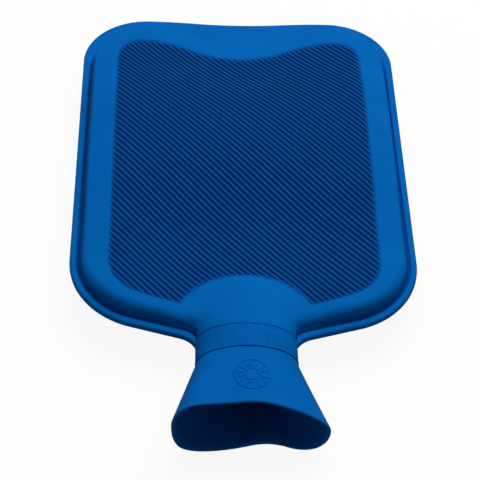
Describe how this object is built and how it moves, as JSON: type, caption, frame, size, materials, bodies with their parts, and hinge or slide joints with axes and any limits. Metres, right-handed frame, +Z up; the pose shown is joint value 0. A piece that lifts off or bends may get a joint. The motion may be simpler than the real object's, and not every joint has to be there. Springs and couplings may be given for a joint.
{
  "type": "hot water bottle",
  "caption": "Rubber hot water bottle lying flat: diagonal ribbed panel, flat rim, neck with grained band, flared filling funnel and a screw stopper inside the neck.",
  "frame": {"origin": "bottom centre of the bottle's box, on the surface that it lies on", "axes": "+X across the bottle, +Y along it from the mouth to the closed end, +Z up out of the ribbed panel"},
  "size_m": [0.2, 0.334, 0.0457],
  "materials": {
    "blue_rubber": "matte moulded rubber",
    "bush_plastic": "moulded plastic",
    "washer_rubber": "soft black rubber",
    "stopper_plastic": "moulded plastic"
  },
  "bodies": {
    "bottle": {"bottle_body": "blue_rubber", "threaded_bush": "bush_plastic"},
    "washer": {"stopper_washer": "washer_rubber"},
    "stopper": {"stopper": "stopper_plastic"}
  },
  "joints": [
    {"name": "stopper_advance", "type": "slide", "parent": "bottle", "child": "washer", "axis": [0, -1, 0], "range_m": [0, 0.012]},
    {"name": "stopper_turn", "type": "hinge", "parent": "washer", "child": "stopper", "pos_m": [0, -0.13, 0.022], "axis": [0, -1, 0], "range_deg": [0, 1080.1]}
  ],
  "couplings": [
    {"joint": "stopper_turn", "follows": "stopper_advance", "rad_per_m": 1570.8}
  ]
}
